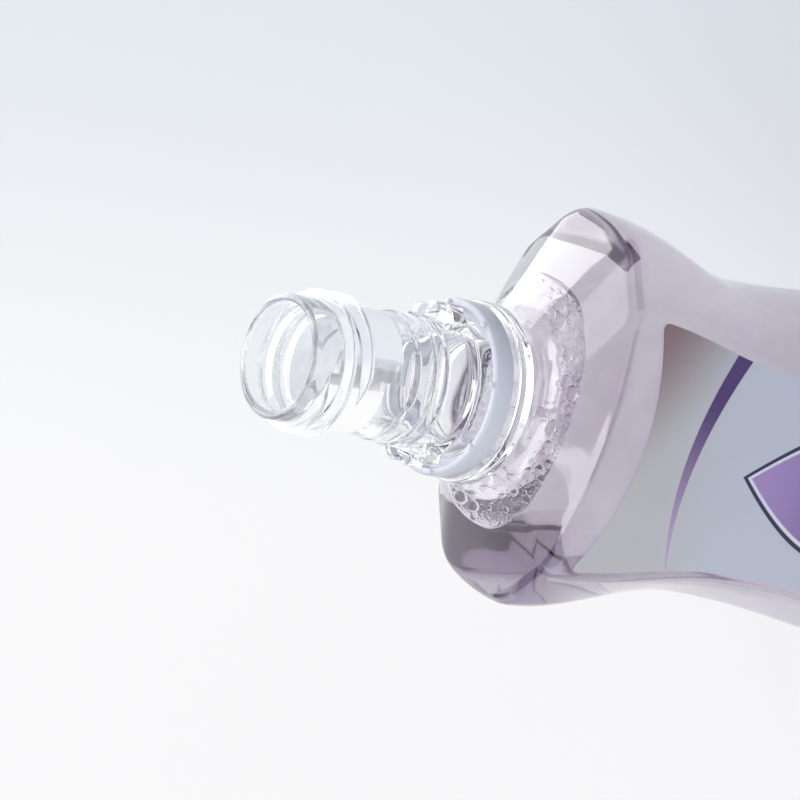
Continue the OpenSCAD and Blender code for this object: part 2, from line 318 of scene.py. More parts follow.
def drawn_in(z, widths):
    foot, waist, shoulder = widths
    if z < WAIST_Z:
        return mix(foot, waist, ease((z - FOOT_Z) / (WAIST_Z - FOOT_Z))) / 2
    return mix(waist, shoulder, ease((z - WAIST_Z) / (SHOULDER_Z - WAIST_Z))) / 2


def facing(angle):
    return Vector((math.sin(angle), -math.cos(angle)))


print("half widths at the waist:", drawn_in(WAIST_Z, WIDTHS), drawn_in(WAIST_Z, PANEL_WIDTHS))

# %% One quarter, then the whole ring
FAN = math.radians(1.0)


def quarter(z):
    """Points from the middle of the front to the side, with what each faces at the body and the neck."""
    middle = Vector((0, PANEL_R - DEPTH / 2))
    turn = math.asin(drawn_in(z, PANEL_WIDTHS) / PANEL_R)
    edge = middle + (PANEL_R - EDGE_R) * facing(turn)
    last = math.pi / 2 - SIDE_TURN
    side = Vector((drawn_in(z, WIDTHS) - SIDE_R, 0))
    corner = side + (SIDE_R - CORNER_R) * facing(last)
    gap = corner - edge
    slant = math.pi / 2 + math.atan2(gap.y, gap.x) - math.acos((EDGE_R - CORNER_R) / gap.length)
    points = []

    def arc(centre, r, way, toward, steps, first=1):
        for t in (i / steps for i in range(first, steps + 1)):
            points.append((centre + r * facing(mix(*way, t)), facing(mix(*way, t)), facing(mix(*toward, t))))

    arc(middle, PANEL_R, (0, turn), (0, turn), PANEL_STEPS, 0)
    arc(edge, EDGE_R, (turn, slant), (turn, slant - FAN), EDGE_STEPS)
    low, high = edge + EDGE_R * facing(slant), corner + CORNER_R * facing(slant)
    for t in (i / FLAT_STEPS for i in range(1, FLAT_STEPS)):
        points.append((low.lerp(high, t), facing(slant), facing(mix(slant - FAN, slant + FAN, t))))
    arc(corner, CORNER_R, (slant, last), (slant + FAN, last), CORNER_STEPS, 0)
    arc(side, SIDE_R, (last, math.pi / 2), (last, math.pi / 2), SIDE_STEPS)
    return points


def flipped(points, x, y):
    return [tuple(Vector((v.x * x, v.y * y)) for v in point) for point in points]


def section(z):
    z = min(max(z, FOOT_Z), SHOULDER_Z)
    if z not in section.kept:
        q = quarter(z)
        right_back, left_front = flipped(q, 1, -1)[::-1][1:-1], flipped(q, -1, 1)[::-1][1:-1]
        section.kept[z] = q + right_back + flipped(q, -1, -1) + left_front
    return section.kept[z]


section.kept = {}
COLUMNS = len(section(SHOULDER_Z))
print("columns round the bottle:", COLUMNS)

# %% [markdown]
# ## Stations up the body
# A station is one level of the skin: its height, the tilt of the surface there, how far it has
# spread from the neck to the full section, and how much the edge round the base takes off. The
# same stations give the outer skin, the inner wall and the skin of the liquid, each drawn in by a
# different thickness along the surface's own normal.

# %% Stations from the middle of the base to the neck
BODY_ROWS, ARC_ROWS, SLOPE_ROWS, DOME_ROWS = 46, 8, 12, 9
STANDING = 0.9
BORE_TAPER, THICK_SHARE = 0.1, 0.35


def stations():
    rows = []
    for i in range(1, DOME_ROWS + 1):
        f = STANDING * i / DOME_ROWS
        rows.append((PUSH_UP * (1 - (f / STANDING) ** 2), -math.pi / 2, 1, f, BASE_R))
    for i in range(ARC_ROWS + 1):
        a = -math.pi / 2 * (1 - i / ARC_ROWS)
        rows.append((BASE_R * (1 + math.sin(a)), a, 1, 1, BASE_R * (1 - math.cos(a))))
    for i in range(1, BODY_ROWS + 1):
        rows.append((mix(BASE_R, SHOULDER_Z, i / BODY_ROWS), 0, 1, 1, 0))
    half = WIDTHS[2] / 2
    edge_x, root_x = half - SHOULDER_R, NECK_ROOT_R + NECK_FILLET
    dx, dz = root_x - edge_x, FILLET_Z - SHOULDER_Z
    tilt = math.atan2(dz, dx) - math.acos((SHOULDER_R + NECK_FILLET) / math.hypot(dx, dz))

    def spread(x):
        return (x - NECK_ROOT_R) / (half - NECK_ROOT_R)

    for i in range(1, ARC_ROWS + 1):
        a = tilt * i / ARC_ROWS
        x, z = edge_x + SHOULDER_R * math.cos(a), SHOULDER_Z + SHOULDER_R * math.sin(a)
        rows.append((z, a, spread(x), 1, 0))
    low = Vector((edge_x + SHOULDER_R * math.cos(tilt), SHOULDER_Z + SHOULDER_R * math.sin(tilt)))
    high = Vector((root_x - NECK_FILLET * math.cos(tilt), FILLET_Z - NECK_FILLET * math.sin(tilt)))
    for i in range(1, SLOPE_ROWS + 1):
        p = low.lerp(high, i / SLOPE_ROWS)
        rows.append((p.y, tilt, spread(p.x), 1, 0))
    for i in range(1, ARC_ROWS + 1):
        a = tilt * (1 - i / ARC_ROWS)
        x, z = root_x - NECK_FILLET * math.cos(a), FILLET_Z - NECK_FILLET * math.sin(a)
        rows.append((z, a, spread(x), 1, 0))
    return rows


def wall_at(spread):
    """The wall is thin over the body and thickens towards the neck, where less was blown out."""
    return mix(NECK_ROOT_R - BORE_R - BORE_TAPER, WALL, ease(spread / THICK_SHARE))


def ring(station, inset):
    z, tilt, spread, shrink, drop = station
    inward = drop + inset * math.cos(tilt)
    made = []
    for point, normal, toward in section(z):
        p = (toward * NECK_ROOT_R).lerp(point, spread) - normal.lerp(toward, 1 - spread).normalized() * inward
        made.append(Vector((p.x * shrink, p.y * shrink, z - inset * math.sin(tilt))))
    return made


BODY = stations()
print("levels of the body:", len(BODY), "up to z", round(BODY[-1][0], 2))

# %% [markdown]
# ## The moulded neck
# The neck is injection-moulded before the body is blown, so its edges are crisp and round: the
# support flange, the land and bead that hold the tamper band, a collar with two fine rings, the
# plain neck and the lip. One profile with rounded corners describes them. The thread and the
# ratchet teeth are then added to the profile's radius, each as a height over the neck.

# %% The neck's profile
LIP_Z, NECK_R, COLLAR_R = 200, 12, 12.6
COLLAR_Z, BEAD_Z, FLANGE_Z = 177, 162.2, 155.9
FLANGE_R, LAND_R, BEAD_R, RING_R, LIP_ROUND = 17.7, 13, 14, 13, 0.5
NECK_CORNERS = [  # radius, height, and how round the corner is
    (NECK_ROOT_R, FILLET_Z, 0), (NECK_ROOT_R, SEAT_Z, 0.4), (FLANGE_R, SEAT_Z, 0.7),
    (FLANGE_R, FLANGE_Z, 0.6), (LAND_R, FLANGE_Z, 0.4), (LAND_R, BEAD_Z - 0.3, 0.3),
    (BEAD_R, BEAD_Z + 0.3, 0.3), (BEAD_R, BEAD_Z + 0.9, 0.3),
    (COLLAR_R, BEAD_Z + 1.8, 0.4), (COLLAR_R, COLLAR_Z - 8, 0.15), (RING_R, COLLAR_Z - 7.7, 0.2),
    (RING_R, COLLAR_Z - 7.3, 0.2), (COLLAR_R, COLLAR_Z - 7, 0.15), (COLLAR_R, COLLAR_Z - 5.2, 0.15),
    (RING_R, COLLAR_Z - 4.9, 0.2), (RING_R, COLLAR_Z - 4.5, 0.2), (COLLAR_R, COLLAR_Z - 4.2, 0.15),
    (COLLAR_R, COLLAR_Z - 1, 0.5), (NECK_R, COLLAR_Z, 0.6), (NECK_R, LIP_Z, LIP_ROUND),
    (BORE_R, LIP_Z, LIP_ROUND), (BORE_R, SEAT_Z + 1, 2), (BORE_R + BORE_TAPER, FILLET_Z, 0),
]


def rounded(corners, steps=4):
    """The corners' path with each corner swapped for a small curve."""
    path = [Vector(corners[0][:2])]
    for before, here, after in zip(corners, corners[1:], corners[2:]):
        p = Vector(here[:2])
        back_way, on_way = Vector(before[:2]) - p, Vector(after[:2]) - p
        r = min(here[2], back_way.length * 0.45, on_way.length * 0.45)
        a, b = p + back_way.normalized() * r, p + on_way.normalized() * r
        for t in (i / steps for i in range(steps + 1)):
            path.append(a * (1 - t) ** 2 + p * 2 * t * (1 - t) + b * t * t)
    return path + [Vector(corners[-1][:2])]


print("points of the neck's profile:", len(rounded(NECK_CORNERS)))

# %% Columns round the neck
TEETH_LOW, TEETH_HIGH, TOOTH_R, TOOTH_DEPTH, TOOTH_RISE = 162.6, 166.8, 16, 1.6, 0.7
TEETH, TEETH_ANGLE, TEETH_TURN, TOOTH_EDGE = 3, 56, 14, 0.5


def tooth_edges():
    """Angles at which the teeth meet and at which they are highest, on both sides of the neck."""
    first = TEETH_TURN - TEETH_ANGLE / 2
    return [(side + first + (k + part) * TEETH_ANGLE / TEETH) % 360
            for side in (0, 180) for k in range(TEETH + 1) for part in (0, TOOTH_RISE) if k + part <= TEETH]


def columns(share, snap):
    """Each column's angle: the body's own at share 0, even at 1, or moved to the teeth's edges."""
    made = []
    for i, (_, _, toward) in enumerate(section(SHOULDER_Z)):
        own = math.degrees(math.atan2(toward.x, -toward.y)) % 360
        made.append(mix(own, 360 * i / COLUMNS, share) - 90)
    if snap:
        for edge in tooth_edges():
            nearest = min(range(COLUMNS), key=lambda i: abs((made[i] - edge + 180) % 360 - 180))
            made[nearest] = edge
    return made


def tooth_radius(angle, z):
    """Scalloped teeth with one steep side, over two arcs on opposite sides of the neck."""
    share = ease((z - TEETH_LOW) / TOOTH_EDGE) * ease((TEETH_HIGH - z) / TOOTH_EDGE)
    for side in (0, 180):
        t = ((angle - TEETH_TURN - side + TEETH_ANGLE / 2 + 1e-6) % 360) / TEETH_ANGLE * TEETH
        if t <= TEETH + 1e-4 and share > 0:
            step = t % 1
            lobe = (math.sin(math.pi / 2 * step / TOOTH_RISE) if step < TOOTH_RISE
                    else math.cos(math.pi / 2 * (step - TOOTH_RISE) / (1 - TOOTH_RISE)))
            return mix(COLLAR_R, TOOTH_R - TOOTH_DEPTH * (1 - lobe), share)
    return 0


print("the teeth's edges in degrees:", [round(a, 1) for a in tooth_edges()])

# %% Rings of the neck
ROW, FINE_ROW, BORE_TWIST = 1.5, 0.22, 20
NEAR_TEETH, FINE_LOW, FINE_HIGH = 0.6, COLLAR_Z - 15, COLLAR_Z - 8.1


def neck_rings():
    """Level rings along the profile. The plain stretch under the lip is one step, left for the thread."""
    rows, path = [], rounded(NECK_CORNERS)
    for a, b in zip(path, path[1:]):
        outside = a.x > BORE_R + 1
        fine = outside and (TEETH_LOW - NEAR_TEETH < a.y < TEETH_HIGH + NEAR_TEETH
                            or FINE_LOW < a.y < FINE_HIGH)
        pieces = 1 if outside and a.y > COLLAR_Z else math.ceil((b - a).length / (FINE_ROW if fine else ROW))
        rows += [a.lerp(b, i / pieces) for i in range(max(1, pieces))]
    rings = []
    for row in rows[1:]:
        outside = row.x > BORE_R + 1
        share = (row.x - NECK_ROOT_R) / (FLANGE_R - NECK_ROOT_R) if row.y <= SEAT_Z + 0.1 else 1
        share = share if outside else (row.y - FILLET_Z) / BORE_TWIST
        toothed = outside and TEETH_LOW < row.y < TEETH_HIGH
        made = []
        for angle in columns(ease(share), toothed):
            r = max(row.x, tooth_radius(angle, row.y)) if toothed else row.x
            made.append(Vector((r * math.cos(math.radians(angle)), r * math.sin(math.radians(angle)), row.y)))
        rings.append(made)
    return rings


neck = neck_rings()
print("rings of the neck:", len(neck))

# %% [markdown]
# ## The thread
# The thread is a helix, so its rows have to climb with it: level rings would cut its flanks into
# steps. Its grid is wound once round the neck, and where the winding meets its own start each row is
# joined to the row one pitch higher up. The wedges left above and below are closed to level rings.

# %% The wound thread
PITCH, TURNS, THREAD_TOP, THREAD_START, LAPS = 4.1, 2.08, 196, -81, 3
THREAD_R, THREAD_ROOT, THREAD_CREST, RUN_OUT = 13.75, 2.5, 0.9, 35
TIP_SHARE, SOFT = 0.15, 0.1
FLANK = (1.37, 1.25, 1.13, 0.85, 0.57, 0.45, 0.33)
OFFSETS = (PITCH / 2, 1.6, *FLANK, 0, *[-d for d in reversed(FLANK)], -1.6)


def run_out(along):
    """0 at both ends of the thread and 1 along its full length."""
    return ease(min(along, 360 * TURNS - along) / RUN_OUT)


def thread_height(along, off):
    """Height over the neck at an angle along the thread and at a distance from its middle line."""
    full = (THREAD_R - NECK_R) * run_out(along)
    flank = (THREAD_ROOT - THREAD_CREST) / 2
    flanks = [clip((THREAD_ROOT / 2 - abs(off) + nudge) / flank) for nudge in (-SOFT, 0, SOFT)]
    return full * sum(flanks) / len(flanks)


def wound_thread(first, level_low, level_high):
    """The thread's points, and faces that join them to each other and to the level rings beside them."""
    n, m, rows = COLUMNS, len(OFFSETS), LAPS * len(OFFSETS)
    start = round((THREAD_START + 90) / 360 * n)
    points, at = [], {}
    for j in range(n):
        angle = math.radians(360 * (start - j) / n - 90)
        for row in range(rows + 1 + (m if j == 0 else 0)):
            lap, off = row // m + j / n, OFFSETS[row % m]
            r = NECK_R + thread_height(360 * lap, off)
            at[row, j] = first + len(points)
            z = THREAD_TOP + off * mix(TIP_SHARE, 1, run_out(360 * lap)) - PITCH * lap
            points.append(Vector((r * math.cos(angle), r * math.sin(angle), z)))
    for row in range(rows + 1):
        at[row, n] = at[row + m, 0]

    def low(j):
        return level_low + (start - j) % n

    def high(j):
        return level_high + (start - j) % n

    faces = [(at[row, j], at[row, j + 1], at[row + 1, j + 1], at[row + 1, j])
             for j in range(n) for row in range(rows)]
    faces += [(high(j), high(j + 1), at[0, j + 1], at[0, j]) for j in range(n - 1)]
    faces.append((high(n - 1), high(0), *[at[row, 0] for row in range(m + 1)], at[0, n - 1]))
    faces += [(at[rows, j], at[rows, j + 1], low(j + 1), low(j)) for j in range(1, n)]
    faces.append((at[rows, 0], at[rows, 1], low(1), low(0), *[at[rows + row, 0] for row in range(m, 0, -1)]))
    return points, faces


print(f"thread: {TURNS} turns, {PITCH * TURNS:.2f} mm from its start to its end")

# %% [markdown]
# ## One closed skin
# Light bends at every skin of clear plastic, so the bottle has to be one closed mesh with a real
# wall, not a sheet with a thickness drawn on. It runs from the middle of the base up the outside,
# over the lip, and down the inside to the base again. Edge extrudes by hand can't follow this
# section, so the rings are computed and joined with faces.

# %% Rings to a mesh
SHARP_EDGE = 40
MM3_PER_ML = 1000


def skin(name, rings, first, last, threaded=False):
    """A closed mesh through rings of equal length, from one middle point to another, faces outwards."""
    n = len(rings[0])
    points = [first] + [p for r in rings for p in r] + [last]

    def at(row, i):
        return 1 + row * n + i % n

    faces = [(0, at(0, i + 1), at(0, i)) for i in range(n)]
    plain = next(row for row in range(len(rings)) if rings[row][0].z > COLLAR_Z) if threaded else -1
    for row in range(len(rings) - 1):
        if row != plain:
            faces += [(at(row, i), at(row, i + 1), at(row + 1, i + 1), at(row + 1, i)) for i in range(n)]
    top = len(rings) - 1
    faces += [(at(top, i), at(top, i + 1), at(top, n - 1) + 1) for i in range(n)]
    if threaded:
        wound, joins = wound_thread(len(points), at(plain, 0), at(plain + 1, 0))
        points, faces = points + wound, faces + joins
    mesh = bpy.data.meshes.new(name)
    mesh.from_pydata([p * MM for p in points], [], faces)
    piece = bpy.data.objects.new(name, mesh)
    bpy.context.scene.collection.objects.link(piece)
    select_only(piece)
    bpy.ops.object.shade_smooth_by_angle(angle=math.radians(SHARP_EDGE))
    shape = bmesh.new()
    shape.from_mesh(mesh)
    print(f"{name}: {shape.calc_volume(signed=True) / MM ** 3 / MM3_PER_ML:.1f} ml, "
          f"open edges {sum(not e.is_manifold for e in shape.edges)}")
    shape.free()
    return piece


print("edges that turn more than", SHARP_EDGE, "degrees stay sharp")

# %% The bottle
outside = [ring(s, 0) for s in BODY]
inside = [ring(s, wall_at(s[2])) for s in BODY]
bottle = skin("pet_bottle", outside + neck + inside[::-1],
              Vector((0, 0, PUSH_UP)), Vector((0, 0, PUSH_UP + WALL)), threaded=True)

# %% [markdown]
# ## Clear PET
# PET is the clear polyester of drinks bottles: glossy, very slightly grey, and it bends light
# strongly (IOR 1.575), which draws its dark edges. Blowing leaves the body faintly wavy, about one
# ripple in every 12 mm, while the moulded neck stays crisp. The lamps' light passes through it, as
# through real plastic, because shadow rays meet a plain see-through surface.

# %% Clear PET material
RIPPLES_END, CRISP_FROM = 0.145, 0.151
pet, tree = new_material("blow-moulded clear PET")
where = add(tree, "ShaderNodeTexCoord")
ripples = add(tree, "ShaderNodeTexNoise", {
    "Vector": where.outputs["Object"], "Scale": 85.0, "Detail": 1.0})
split = add(tree, "ShaderNodeSeparateXYZ", {"Vector": where.outputs["Object"]})
blown = add(tree, "ShaderNodeMapRange", {
    "Value": split.outputs["Z"], "From Min": RIPPLES_END, "From Max": CRISP_FROM,
    "To Min": 1.0, "To Max": 0.0})
relief = add(tree, "ShaderNodeMath", {0: ripples.outputs["Fac"], 1: blown.outputs["Result"]},
             operation="MULTIPLY")
wavy = add(tree, "ShaderNodeBump", {
    "Height": relief.outputs["Value"], "Strength": 0.12, "Distance": 0.0006})
clear = add(tree, "ShaderNodeBsdfPrincipled", {
    "Base Color": linear("#FBFCFD"), "Roughness": 0.0, "IOR": 1.575, "Transmission Weight": 1.0,
    "Normal": wavy.outputs["Normal"]})
lit_through(tree, clear, "#F4F5F8")
dress(bottle, pet, "bottle")
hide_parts("bottle")

# %% [markdown]
# ## The mouthwash
# A liquid in a clear bottle has no gap to its wall, so its skin is set a little way into the PET:
# the ray then goes from plastic to liquid without meeting air. It fills the body up to the lower part
# of the shoulder, and its level surface curls up where it meets the wall.

# %% The liquid's skin
FILL_Z, OVERLAP, CURL, CURL_REACH = 142, 0.15, 0.8, 0.9
CURL_STEPS = (0.25, 0.5, 0.9, 1.4, 2.2, 3.2, 4.5)
LEVEL_STEPS = (0.75, 0.5, 0.25)


def liquid_ring(station):
    return ring(station, wall_at(station[2]) - OVERLAP)


def surface_rings():
    """The curled rim, then the level surface drawn in to its middle."""
    at = next(i for i, s in enumerate(BODY) if liquid_ring(s)[0].z > FILL_Z + CURL)
    a, b = liquid_ring(BODY[at - 1]), liquid_ring(BODY[at])
    t = (FILL_Z + CURL - a[0].z) / (b[0].z - a[0].z)
    rim = [p.lerp(q, t) for p, q in zip(a, b)]
    rings = [liquid_ring(s) for s in BODY[:at]] + [rim]
    for inward in CURL_STEPS:
        rings.append([Vector((p.x, p.y, 0)) * (1 - inward / Vector((p.x, p.y)).length)
                      + Vector((0, 0, FILL_Z + CURL * math.exp(-inward / CURL_REACH))) for p in rim])
    last = rings[-1]
    for f in LEVEL_STEPS:
        rings.append([Vector((p.x * f, p.y * f, FILL_Z)) for p in last])
    return rings


mouthwash = skin("lavender_mouthwash", surface_rings(),
                 Vector((0, 0, PUSH_UP + WALL - OVERLAP)), Vector((0, 0, FILL_Z)))

# %% Lavender mouthwash
liquid, tree = new_material("lavender mouthwash")
wet = add(tree, "ShaderNodeBsdfPrincipled", {
    "Base Color": linear("#FFFFFF"), "Roughness": 0.0, "IOR": 1.34, "Transmission Weight": 1.0})
dye = add(tree, "ShaderNodeVolumeAbsorption", {"Color": linear("#BB9DBF"), "Density": 21.0})
lit_through(tree, wet, "#E9E4EF", Volume=dye.outputs["Volume"])
dress(mouthwash, liquid, "bottle")
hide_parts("mouthwash")

# %% [markdown]
# ## The loose tamper band
# When the cap is first twisted, a ring tears off it and stays behind on the neck, free to turn. It is
# turned work in shape: one profile spun about the axis. Eight little nibs on its upper edge are what is
# left of the bridges that held it to the cap.

# %% Spin the band's profile
BAND_CORNERS = [  # radius, height, and how round the corner is
    (15.3, 157.0, 0), (17.2, 157.0, 0.5), (17.2, 161.2, 0.8), (15.8, 161.2, 0.25), (15.8, 158.7, 0.5),
    (15.0, 158.2, 0.3), (13.4, 158.2, 0.35), (13.4, 157.0, 0.3), (15.3, 157.0, 0),
]
SPIN_STEPS, SAME_POINT = 180, 0.01


def spun(name, corners, steps):
    """A closed profile, spun once round the axis in edit mode."""
    path = rounded(corners)[:-1]
    mesh = bpy.data.meshes.new(name)
    links = [(i, (i + 1) % len(path)) for i in range(len(path))]
    mesh.from_pydata([(p.x * MM, 0, p.y * MM) for p in path], links, [])
    piece = bpy.data.objects.new(name, mesh)
    bpy.context.scene.collection.objects.link(piece)
    select_only(piece)
    bpy.ops.object.mode_set(mode="EDIT")
    bpy.ops.mesh.select_all(action="SELECT")
    bpy.ops.mesh.spin(steps=steps, angle=2 * math.pi, center=(0, 0, 0), axis=(0, 0, 1))
    bpy.ops.mesh.select_all(action="SELECT")
    bpy.ops.mesh.remove_doubles(threshold=SAME_POINT * MM)
    bpy.ops.mesh.normals_make_consistent(inside=False)
    bpy.ops.object.mode_set(mode="OBJECT")
    return piece


band = spun("tamper_band_ring", BAND_CORNERS, SPIN_STEPS)
print("band:", len(band.data.polygons), "faces before its nibs")

# %% Nibs on its upper edge
NIBS, NIB_PLACE, NIB_SIZE, NIB_ROUND = 8, (16.45, 0, 161.35), (0.9, 1.3, 1.1), 0.12
NIB_HIGH, NIB_TOP, NIB_TAPER, TEAR_DEPTH = 161.5, 161.95, 0.72, 0.3
SMOOTH_UP_TO = 35


def nib(angle, tear):
    """What is left of one torn bridge: a small block with a narrower, slanting top."""
    clear_selection()
    bpy.ops.mesh.primitive_cube_add(size=1, location=[x * MM for x in NIB_PLACE])
    made = bpy.context.object
    made.scale = [x * MM for x in NIB_SIZE]
    select_only(made)
    bpy.ops.object.transform_apply(location=True, rotation=True, scale=True)
    for v in made.data.vertices:
        if v.co.z > NIB_HIGH * MM:
            v.co.y *= NIB_TAPER
            v.co.z = min(v.co.z, NIB_TOP * MM) - tear * (0.5 + v.co.y / (NIB_SIZE[1] * MM)) * TEAR_DEPTH * MM
    made.data.transform(Matrix.Rotation(angle, 4, "Z"))
    bevel = made.modifiers.new("soft edges", "BEVEL")
    bevel.width, bevel.segments = NIB_ROUND * MM, 2
    select_only(made)
    bpy.ops.object.modifier_apply(modifier=bevel.name)
    return made


tears = random.Random(5)
nibs = [nib(math.radians((i + 0.5) * 360 / NIBS), tears.uniform(-1, 1)) for i in range(NIBS)]
for piece in nibs:
    union = band.modifiers.new("nib", "BOOLEAN")
    union.operation, union.object, union.solver = "UNION", piece, "EXACT"
    select_only(band)
    bpy.ops.object.modifier_apply(modifier=union.name)
    bpy.data.objects.remove(piece)
select_only(band)
bpy.ops.object.shade_smooth_by_angle(angle=math.radians(SMOOTH_UP_TO))
print("nibs joined to the band:", NIBS)

# %% Translucent polypropylene
pp, tree = new_material("translucent white polypropylene")
where = add(tree, "ShaderNodeTexCoord")
grain = add(tree, "ShaderNodeTexNoise", {
    "Vector": where.outputs["Object"], "Scale": 1400.0, "Detail": 2.0})
fine = add(tree, "ShaderNodeBump", {"Height": grain.outputs["Fac"], "Strength": 0.08, "Distance": 0.0002})
milky = add(tree, "ShaderNodeBsdfPrincipled", {
    "Base Color": linear("#D3D6E0"), "Roughness": 0.28, "IOR": 1.49, "Subsurface Weight": 0.5,
    "Subsurface Radius": (1.0, 1.0, 1.1), "Subsurface Scale": 0.0025, "Normal": fine.outputs["Normal"]})
add(tree, "ShaderNodeOutputMaterial", {"Surface": milky.outputs["BSDF"]})
dress(band, pp, "band")
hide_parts("tamper_band")

# %% [markdown]
# ## Label films
# Each label is one thin printed film glued to a crowned panel: its sides follow the panel's edges, and
# its ends are hollow arcs with rounded corners. It starts as a flat grid, closer at its rim. Each point
# is moved to its place on the panel, those outside a corner's radius go onto it, and a solidify
# modifier gives the film its thickness. The glue leaves no air under it, so its back sits a hair
# inside the plastic.

# %% Fit a grid to the panel
LABEL_TOP, LABEL_BOTTOM, LABEL_DIP, LABEL_MARGIN, LABEL_ROUND, LABEL_T = 131.2, 24, 3.2, 0.8, 1.8, 0.15
GLUE_IN, RIM_CUTS, STRIPS, BANDS = 0.05, (0, 0.13, 0.3, 0.5, 0.8, 1.2, 1.8), 26, 44
RIM_TURN = 0.6


def cuts(length, count):
    """Distances along a length: close together at both ends, even between them."""
    even = [mix(RIM_CUTS[-1], length - RIM_CUTS[-1], i / count) for i in range(1, count)]
    return [*RIM_CUTS, *even, *[length - d for d in reversed(RIM_CUTS)]]


def on_panel(column, row):
    """The place of one crossing of the grid, in millimetres across and up."""
    tall = LABEL_TOP - LABEL_BOTTOM
    d = cuts(tall, BANDS)[row]
    half = drawn_in(LABEL_BOTTOM + d, PANEL_WIDTHS) - LABEL_MARGIN
    u = cuts(2 * half, STRIPS)[column] / half - 1
    from_side, from_end = (1 - abs(u)) * half, min(d, tall - d)
    out = Vector((LABEL_ROUND - from_side, LABEL_ROUND - from_end))
    if min(out) > 0 and out.length > LABEL_ROUND:
        out *= LABEL_ROUND / out.length
        u = math.copysign(1 - (LABEL_ROUND - out.x) / half, u)
        d = LABEL_ROUND - out.y if d < tall / 2 else tall - LABEL_ROUND + out.y
    dip = LABEL_DIP * (1 - u * u)
    z = mix(LABEL_BOTTOM + dip, LABEL_TOP - dip, d / tall)
    return u * (drawn_in(z, PANEL_WIDTHS) - LABEL_MARGIN), z


def panel_normal(mesh, face, corner):
    """Across the film the normal is the panel's own, so that the grid doesn't show in its gloss."""
    if abs(face.normal.y) < RIM_TURN:
        return face.normal
    at = mesh.vertices[corner].co
    away = Vector((at.x, at.y - (PANEL_R - DEPTH / 2) * MM, 0)).normalized()
    return away if face.normal.y < 0 else -away


def label_film(name, turned):
    clear_selection()
    across, along = STRIPS + 2 * len(RIM_CUTS) - 2, BANDS + 2 * len(RIM_CUTS) - 2
    bpy.ops.mesh.primitive_grid_add(x_subdivisions=across, y_subdivisions=along, size=2, location=(0, 0, 0))
    film = bpy.context.object
    film.name = name
    for v in film.data.vertices:
        x, z = on_panel(round((v.co.x + 1) / 2 * across), round((v.co.y + 1) / 2 * along))
        v.co = Vector((x, PANEL_R - DEPTH / 2 - math.sqrt((PANEL_R - GLUE_IN) ** 2 - x * x), z)) * MM
    thick = film.modifiers.new("film", "SOLIDIFY")
    thick.thickness, thick.offset, thick.use_even_offset = (LABEL_T + GLUE_IN) * MM, 1, True
    select_only(film)
    bpy.ops.object.modifier_apply(modifier=thick.name)
    film.data.shade_smooth()
    film.data.normals_split_custom_set([
        panel_normal(film.data, face, i) for face in film.data.polygons for i in face.vertices])
    if turned:
        film.data.transform(Matrix.Rotation(math.pi, 4, "Z"))
    return film


front_label = label_film("front_label_film", False)
back_label = label_film("back_label_film", True)
print("films:", round(LABEL_TOP - LABEL_BOTTOM, 1), "mm from corner to corner,", LABEL_T, "mm thick")

# %% [markdown]
# ## The print
# The film is satin silver, printed with a mauve fade from one upper corner, a violet crescent and a
# plain drop. Towards its lower part the silver turns a lighter blue-grey: that is a painted sheen, not
# print. Everything is drawn from the piece's own X and Z in millimetres. The film's reverse is pale,
# and it is what shows through the liquid from the other side.
#
# The print is set out in three tables. Measures are lengths worked out by math nodes, edges turn a
# length into a soft share from 0 to 1, and inks lie one over another by those shares. A name in a
# row stands for what the row of that name made.

# %% Measures, edges and inks of the print
FADE_X, FADE_Z, CRESCENT_Z, CRESCENT_BOW = 26.0, 130.0, 116.0, 0.013
DROP_FOOT, DROP_LENGTH, DROP_WIDTH = 52.0, 50.0, 41.0
MEASURES = [
    ("leaning", "MULTIPLY", "x", 0.25), ("height", "MULTIPLY_ADD", "z", -1.0, "leaning"),
    ("aside", "SUBTRACT", FADE_X, "x"), ("part aside", "MULTIPLY", "aside", 0.8),
    ("down", "SUBTRACT", FADE_Z, "z"), ("from corner", "ADD", "part aside", "down"),
    ("squared", "MULTIPLY", "x", "x"), ("bowed", "MULTIPLY_ADD", "squared", CRESCENT_BOW, "z"),
    ("over line", "SUBTRACT", "bowed", CRESCENT_Z), ("off line", "ABSOLUTE", "over line"),
    ("half line", "MULTIPLY_ADD", "x", 0.045, 1.15), ("past line", "SUBTRACT", "off line", "half line"),
    ("over foot", "SUBTRACT", "z", DROP_FOOT), ("along", "DIVIDE", "over foot", DROP_LENGTH),
    ("up drop", "MAXIMUM", "along", 0.0), ("round end", "POWER", "up drop", 0.5),
    ("thin end", "SUBTRACT", 1.0, "up drop"), ("leaf", "MULTIPLY", "round end", "thin end"),
    ("half drop", "MULTIPLY", "leaf", DROP_WIDTH), ("under foot", "SUBTRACT", "up drop", "along"),
    ("below", "MULTIPLY", "under foot", DROP_LENGTH), ("off middle", "ABSOLUTE", "x"),
    ("room", "SUBTRACT", "half drop", "off middle"), ("inset", "SUBTRACT", "room", "below"),
]
EDGES = [  # name, measure, where the share is 0, where it is full, and how much that is
    # The first edge is a painted sheen, not print: it turns the silver a lighter blue-grey lower down.
    ("painted sheen", "height", -124.0, -100.0, 1.0), ("fade", "from corner", 30.0, -2.0, 0.95),
    ("deeper", "x", -22.0, 16.0, 1.0), ("line", "past line", 0.15, -0.15, 1.0),
    ("rim", "inset", -0.1, 0.15, 1.0), ("keyline", "inset", 0.9, 1.1, 1.0),
    ("lighter", "z", 56.0, 100.0, 1.0), ("fill", "inset", 1.7, 1.95, 1.0),
]
